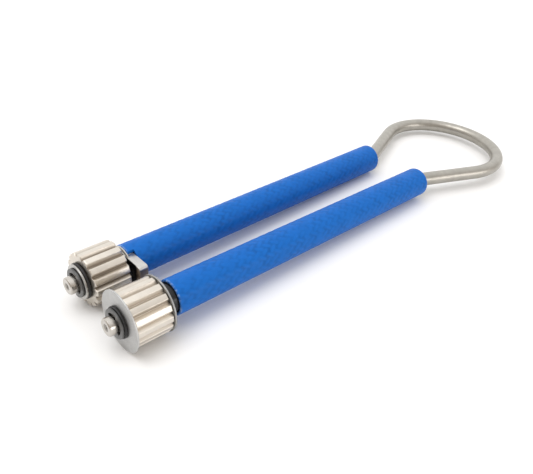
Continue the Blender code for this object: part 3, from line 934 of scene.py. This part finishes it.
def braid_tree():
    """Geometry Nodes: raise a braid on the outside of a tube along X, fading out at its cut ends."""
    nodes, inputs = new_tree("Raise the braid", {
        "Strands": 'Int', "Pitch": 'Float', "Height": 'Float', "Skin radius": 'Float',
        "Front": 'Float', "Back": 'Float', "Fade": 'Float',
    })
    position = nodes.add('GeometryNodeInputPosition')[0]
    along, across, up = nodes.parts(position)
    radial = nodes.together(0.0, across, up)
    outward = nodes.vector('NORMALIZE', radial)[0]
    level = nodes.vector('LENGTH', radial)["Value"]
    on_skin = nodes.maths('GREATER_THAN', level, inputs["Skin radius"])
    from_front = nodes.maths('SUBTRACT', along, inputs["Front"])
    from_back = nodes.maths('SUBTRACT', inputs["Back"], along)
    nearest = nodes.maths('MINIMUM', from_front, from_back)
    fade = nodes.between(nearest, (0.0, inputs["Fade"]), interpolation_type='SMOOTHSTEP')
    height = braid_height(nodes, position, inputs["Strands"], inputs["Pitch"])
    sunk = nodes.maths('MULTIPLY', nodes.maths('SUBTRACT', height, 1.0), inputs["Height"])
    rise = nodes.maths('MULTIPLY', sunk, nodes.maths('MULTIPLY', on_skin, fade))
    shift = nodes.add('ShaderNodeVectorMath', {0: outward, "Scale": rise}, operation='SCALE')[0]
    raised = nodes.add('GeometryNodeSetPosition', {"Geometry": inputs["Geometry"], "Offset": shift})[0]
    return close_tree(nodes, raised, inputs["Material"])


class TONGS_OT_sleeves(bpy.types.Operator):
    """Braid the two blue handle sleeves, and notch the right one for the stop plate"""

    bl_idname = "tongs.sleeves"
    bl_label = "Braid the sleeves"

    def execute(self, context):
        places = Places(context.scene)
        sleeve = places.sleeve
        fixings = places.fixings
        tree = braid_tree()
        end = places.sleeve_end
        for side, front in (("left", 0.0), ("right", places.right_sleeve)):
            matrix = places.legs[side]
            outline = [(front, places.sleeve_bore), (front, places.sleeve_radius),
                       (end, places.sleeve_radius), (end, places.sleeve_bore)]
            outline = spaced(rounded(outline, sleeve.rim), sleeve.strand_pitch / STEPS_PER_STRAND)
            piece = new_piece(side + "_braided_sleeve", turned(outline, STEPS_PER_STRAND * sleeve.strands))
            material = braid_finish(side, sleeve, matrix, front)
            run_tree(piece, tree, {
                "Strands": sleeve.strands, "Pitch": sleeve.strand_pitch,
                "Height": sleeve.strand_height / 2, "Skin radius": places.sleeve_radius - sleeve.wall / 2,
                "Front": front, "Back": end, "Fade": 2 * sleeve.rim, "Material": material,
            })
            if side == "right":
                wide = sleeve.diameter
                side_of_axis = -fixings.notch
                notch = [(-wide, -wide), (side_of_axis, -wide), (side_of_axis, wide), (-wide, wide)]
                reach = fixings.plate + fixings.clearance
                combine(piece, prism(notch, places.plate - reach, 2 * reach), 'DIFFERENCE')
            seat(piece, matrix, material, side + "_leg", side + "_sleeve")
        return {'FINISHED'}


class TONGS_OT_cores(bpy.types.Operator):
    """Fit the black core tubes inside the sleeves; the left one's nose shows"""

    bl_idname = "tongs.cores"
    bl_label = "Fit the core tubes"

    def execute(self, context):
        places = Places(context.scene)
        sleeve = places.sleeve
        material = core_finish(sleeve)
        for side, front in (("left", -sleeve.core_nose), ("right", places.right_core)):
            slip_on(places, side, side + "_core", material, side + "_core_tube",
                    front, places.core_end - front, places.core_radius, sleeve.rim)
        return {'FINISHED'}


# Rollers and discs

def land_section(roller, land_radius, floor_radius):
    """One pitch of a roller's section, from the middle of a flute to the middle of the next one."""
    half_pitch = math.pi / roller.flutes
    foot = half_pitch - math.asin(roller.flute_floor / 2 / floor_radius)
    edge = half_pitch - math.asin(roller.flute_width / 2 / land_radius)
    points = [
        *arc(floor_radius, -half_pitch, -foot, steps=FLUTE_FLOOR_STEPS),
        *arc(land_radius, -edge, edge, steps=LAND_STEPS),
        *arc(floor_radius, foot, half_pitch, steps=FLUTE_FLOOR_STEPS),
    ]
    return rounded(points, roller.edge_round, closed=False, least_degrees=30.0)


def roller_pitch(roller, places):
    """One pitch of a roller: land, half a flute on each side, and its part of the end faces and bore."""
    shape = bmesh.new()
    radius = places.roller_radius
    floor_radius = radius - roller.flute_depth
    chamfer = roller.chamfer
    end = roller.extent
    half_pitch = math.pi / roller.flutes

    def row(x, points):
        return [shape.verts.new((x, y, z)) for y, z in points]

    def bore_row(x, ring_radius):
        return row(x, arc(ring_radius, -half_pitch, half_pitch, steps=BORE_STEPS))

    stations = rounded([(0.0, radius - chamfer), (chamfer, radius), (end - chamfer, radius),
                        (end, radius - chamfer)], chamfer * LAND_EDGE, closed=False)
    rows = [row(x, land_section(roller, land_radius, floor_radius)) for x, land_radius in stations]
    shoulder = (floor_radius + places.bore) / 2
    front = [bore_row(0.0, shoulder), bore_row(0.0, places.bore)]
    back = [bore_row(end, shoulder), bore_row(end, places.bore)]
    for first, second in [*zip(rows, rows[1:]), tuple(front), (back[1], back[0]), (front[1], back[1])]:
        for i in range(len(first) - 1):
            shape.faces.new((first[i], first[i + 1], second[i + 1], second[i]))
    shape.faces.new(rows[0] + front[0][::-1])
    shape.faces.new(rows[-1][::-1] + back[0])
    return shape


def roller_tree():
    """Geometry Nodes: repeat one pitch of a roller round its axis and join the pitches."""
    nodes, inputs = new_tree("Repeat the flutes", {"Flutes": 'Int', "Join distance": 'Float'})
    spots = nodes.add('GeometryNodePoints', {"Count": inputs["Flutes"]})[0]
    index = nodes.add('GeometryNodeInputIndex')[0]
    step = nodes.maths('DIVIDE', FULL_TURN, inputs["Flutes"])
    turn = nodes.together(nodes.maths('MULTIPLY', index, step))
    rotation = nodes.add('FunctionNodeEulerToRotation', {0: turn})[0]
    copies = nodes.add('GeometryNodeInstanceOnPoints', {
        "Points": spots, "Instance": inputs["Geometry"], "Rotation": rotation,
    })[0]
    real = nodes.add('GeometryNodeRealizeInstances', {"Geometry": copies})[0]
    joined = nodes.add('GeometryNodeMergeByDistance', {
        "Geometry": real, "Distance": inputs["Join distance"],
    })[0]
    return close_tree(nodes, joined, inputs["Material"])


class TONGS_OT_rollers(bpy.types.Operator):
    """Cut the two fluted rollers"""

    bl_idname = "tongs.rollers"
    bl_label = "Cut the rollers"

    def execute(self, context):
        places = Places(context.scene)
        roller = places.roller
        tree = roller_tree()
        rows = (("left", places.left_roller, roller.left_turn, roller.left_flute_dull_and_shade),
                ("right", places.right_roller, roller.right_turn, roller.right_flute_dull_and_shade))
        for side, front, turn, flutes in rows:
            matrix = places.legs[side] @ Matrix.Translation((front, 0, 0))
            material = nickel_finish(side, roller, matrix, places.roller_radius, flutes)
            piece = new_piece(side + "_fluted_roller", roller_pitch(roller, places))
            run_tree(piece, tree, {
                "Flutes": roller.flutes, "Join distance": JOIN_DISTANCE, "Material": material,
            })
            face_outward(piece)
            land_down = Matrix.Rotation(turn - QUARTER, 4, 'X')
            seat(piece, matrix @ land_down, material, side + "_roller", side + "_roller")
        return {'FINISHED'}


class TONGS_OT_discs(bpy.types.Operator):
    """Set the thin steel discs before and behind the left roller"""

    bl_idname = "tongs.discs"
    bl_label = "Set the discs"

    def execute(self, context):
        places = Places(context.scene)
        roller = places.roller
        thickness = roller.disc_thickness
        # The rear disc's lower shade is painted shade, where it sits between the roller and the core tube.
        rows = (("front", places.left_front_disc, roller.front_disc_rim, 1.0),
                ("rear", places.left_rear_disc, roller.rear_disc_rim, 0.7))
        for name, start, rim, shade in rows:
            grey = darker(roller.disc_grey, shade)
            material = plain_metal_finish(name + " steel disc", grey, smoothness=(0.42, 0.58))
            slip_on(places, "left", "left_" + name + "_steel_disc", material, "left_" + name + "_disc",
                    start, thickness, places.roller_radius + rim, thickness * DISC_EDGE)
        return {'FINISHED'}


# Rings, washer, clips and stop plate

class TONGS_OT_rings(bpy.types.Operator):
    """Slip the rubber rings and the bright washer on the axles"""

    bl_idname = "tongs.rings"
    bl_label = "Slip on the rings"

    def execute(self, context):
        places = Places(context.scene)
        fixings = places.fixings
        rubber = rubber_finish(fixings)
        bright = plain_metal_finish("plated washer", fixings.washer_grey, smoothness=(0.26, 0.40))
        slip_on(places, "left", "left_rubber_ring", rubber, "left_front_ring",
                places.left_ring, fixings.left_ring, fixings.left_ring_radius,
                fixings.left_ring * RUBBER_EDGE)
        slip_on(places, "right", "right_rubber_ring", rubber, "right_front_ring",
                places.right_ring, fixings.right_ring, fixings.right_ring_radius,
                fixings.right_ring * RUBBER_EDGE)
        slip_on(places, "right", "right_bright_washer", bright, "right_front_washer",
                places.right_washer, fixings.washer, fixings.washer_radius,
                fixings.washer * WASHER_EDGE)
        return {'FINISHED'}


def clip_outline(places, fixings):
    """A retaining clip with three prongs: two beside its mouth and one opposite, seated in the groove."""
    seat_radius = places.groove_radius + fixings.clearance
    relief = fixings.clip_radius - fixings.clip_band
    half_mouth = fixings.clip_mouth / 2
    prong = fixings.clip_prong
    start = fixings.clip_turn + half_mouth
    end = fixings.clip_turn + FULL_TURN - half_mouth
    back = fixings.clip_turn + math.pi
    steps = (
        (fixings.clip_radius, start, end),
        (seat_radius, end, end - prong),
        (relief, end - prong, back + prong / 2),
        (seat_radius, back + prong / 2, back - prong / 2),
        (relief, back - prong / 2, start + prong),
        (seat_radius, start + prong, start),
    )
    return [point for radius, a, b in steps for point in arc(radius, a, b)]


class TONGS_OT_clips(bpy.types.Operator):
    """Snap the black retaining clips into the grooves of the axles"""

    bl_idname = "tongs.clips"
    bl_label = "Snap in the clips"

    def execute(self, context):
        places = Places(context.scene)
        fixings = places.fixings
        material = plain_metal_finish("blackened clip steel", fixings.clip_grey, smoothness=(0.30, 0.46),
                                      metallic=0.85)
        outline = rounded(clip_outline(places, fixings), fixings.clip / 2)
        for side in SIDES:
            piece = new_piece(side + "_retaining_clip", prism(outline, places.clip, fixings.clip))
            round_edges(piece, fixings.clip * CLIP_EDGE)
            seat(piece, places.legs[side], material, side + "_leg", side + "_e_clip")
        return {'FINISHED'}


class TONGS_OT_plate(bpy.types.Operator):
    """Set the stop plate in the notch of the right sleeve"""

    bl_idname = "tongs.plate"
    bl_label = "Set the stop plate"

    def execute(self, context):
        places = Places(context.scene)
        fixings = places.fixings
        matrix = places.legs["right"]
        half = fixings.plate_height / 2
        corner = fixings.plate_corner
        inner = corner - fixings.plate_reach
        upper = arc(corner, QUARTER, 2 * QUARTER, PLATE_CORNER_STEP_DEGREES)
        lower = arc(corner, 2 * QUARTER, 3 * QUARTER, PLATE_CORNER_STEP_DEGREES)
        shoulder = -fixings.notch - fixings.clearance
        hub_end = math.acos(shoulder / places.core_radius)
        outline = [
            *arc(places.core_radius, -hub_end, hub_end),
            (shoulder, half),
            *((inner + y, half - corner + z) for y, z in upper),
            *((inner + y, corner - half + z) for y, z in lower),
            (shoulder, -half),
        ]
        piece = new_piece("right_steel_stop_plate", prism(outline, places.plate, fixings.plate))
        round_edges(piece, fixings.plate_round)
        start = places.flange
        end = start + fixings.flange
        rim = fixings.flange * FLANGE_EDGE
        edge = places.sleeve_radius
        flange = [(start, edge - rim), (start + rim, edge), (end - rim, edge), (end, edge - rim)]
        combine(piece, turned(flange, hollow=False), 'UNION')
        bore = arc(places.bore, 0.0, FULL_TURN)[:-1]
        combine(piece, prism(bore, places.plate - fixings.plate, 3 * fixings.plate), 'DIFFERENCE')
        material = plate_finish(fixings, matrix, places)
        seat(piece, matrix, material, "right_leg", "right_stop_plate")
        return {'FINISHED'}


# Floor, light and camera

def area_light(name, watts, place, target, size):
    """A softbox of some width and height that faces a target."""
    light = bpy.data.lights.new(name, 'AREA')
    light.shape = 'RECTANGLE'
    light.size, light.size_y = size
    light.energy = watts
    lamp = add_object(name, light)
    lamp.location = place
    lamp.rotation_euler = (Vector(target) - Vector(place)).to_track_quat('-Z', 'Y').to_euler()


def room_light(strength):
    """An even pale room, warmer and dimmer on the camera's side."""
    world = bpy.data.worlds.new("room")
    world.use_nodes = True
    nodes = Nodes(world.node_tree)
    nodes.tree.nodes.clear()
    far_side = (0.45, 0.60, 0.66)
    far_tint = (1.0, 1.0, 1.0)
    near_tint = (0.50, 0.46, 0.42)
    sight = nodes.add('ShaderNodeTexCoord')["Generated"]
    away = nodes.vector('DOT_PRODUCT', sight, far_side)["Value"]
    share = nodes.between(away, (-0.2, 0.8), interpolation_type='SMOOTHSTEP')
    tint = nodes.mix(share, near_tint, far_tint)
    glow = nodes.add('ShaderNodeBackground', {"Color": tint, "Strength": strength})[0]
    nodes.add('ShaderNodeOutputWorld', {"Surface": glow})
    bpy.context.scene.world = world


def photo_camera(stage, matrix):
    """The camera at the photograph's angle, set in the tongs' own frame."""
    turn = stage.azimuth
    rise = stage.elevation
    sight = Vector((math.cos(turn) * math.cos(rise), math.sin(turn) * math.cos(rise), -math.sin(rise)))
    level_right = Vector((math.sin(turn), -math.cos(turn), 0.0))
    level_down = sight.cross(level_right)
    right = level_right * math.cos(stage.roll) + level_down * math.sin(stage.roll)
    down = level_down * math.cos(stage.roll) - level_right * math.sin(stage.roll)
    aim = Vector((stage.aim_along, stage.aim_across, 0.0))
    axes = Matrix((right, -down, -sight)).transposed().to_4x4()
    camera = bpy.data.cameras.new("camera")
    camera.sensor_width = SENSOR_WIDTH
    camera.lens = stage.focal_pixels * SENSOR_WIDTH / IMAGE_WIDTH
    camera.clip_start = 0.005
    camera.clip_end = 50.0
    holder = add_object("camera", camera)
    holder.matrix_world = matrix @ Matrix.Translation(aim - sight * stage.distance) @ axes
    bpy.context.scene.camera = holder


class TONGS_OT_stage(bpy.types.Operator):
    """Lay the pale floor and set the soft lights and the camera"""

    bl_idname = "tongs.stage"
    bl_label = "Lay the stage"

    def execute(self, context):
        scene = context.scene
        stage = scene.tongs_stage
        half = stage.floor_size / 2
        corners = ((-half, -half), (half, -half), (half, half), (-half, half))
        shape = bmesh.new()
        shape.faces.new([shape.verts.new((x, y, 0.0)) for x, y in corners])
        floor = new_piece("floor", shape)
        floor.data.materials.append(floor_finish(stage))
        area_light("overhead_softbox", stage.key_watts,
                   place=(-0.27, 0.12, 0.76), target=(0, 0, 0), size=(0.50, 0.50))
        area_light("side_softbox", stage.side_watts,
                   place=(0.26, -0.74, 0.17), target=(-0.05, 0, 0.01), size=(0.45, 0.30))
        room_light(stage.sky)
        photo_camera(stage, Places(scene).middle)
        scene.view_settings.view_transform = 'Standard'
        scene.view_settings.look = 'None'
        return {'FINISHED'}


class TONGS_PT_panel(bpy.types.Panel):
    """Lists the steps that build the tongs, and their sizes and colours"""

    bl_idname = "TONGS_PT_panel"
    bl_label = "Wire straightening tongs"
    bl_space_type = 'VIEW_3D'
    bl_region_type = 'UI'
    bl_category = "Tongs"

    def draw(self, context):
        for operator in OPERATORS:
            self.layout.operator(operator.bl_idname)
        for group, kind in GROUPS.items():
            column = self.layout.column(align=True)
            for name in kind.__annotations__:
                column.prop(getattr(context.scene, group), name)


OPERATORS = (
    TONGS_OT_wire,
    TONGS_OT_sleeves,
    TONGS_OT_cores,
    TONGS_OT_rollers,
    TONGS_OT_discs,
    TONGS_OT_rings,
    TONGS_OT_clips,
    TONGS_OT_plate,
    TONGS_OT_stage,
)


def register():
    for kind in (*GROUPS.values(), *OPERATORS, TONGS_PT_panel):
        bpy.utils.register_class(kind)
    for name, kind in GROUPS.items():
        setattr(bpy.types.Scene, name, PointerProperty(type=kind))


def unregister():
    for name in GROUPS:
        delattr(bpy.types.Scene, name)
    for kind in reversed((*GROUPS.values(), *OPERATORS, TONGS_PT_panel)):
        bpy.utils.unregister_class(kind)


def main():
    register()
    bpy.ops.tongs.wire()
    bpy.ops.tongs.sleeves()
    bpy.ops.tongs.cores()
    bpy.ops.tongs.rollers()
    bpy.ops.tongs.discs()
    bpy.ops.tongs.rings()
    bpy.ops.tongs.clips()
    bpy.ops.tongs.plate()
    bpy.ops.tongs.stage()


if __name__ == "__main__":
    main()
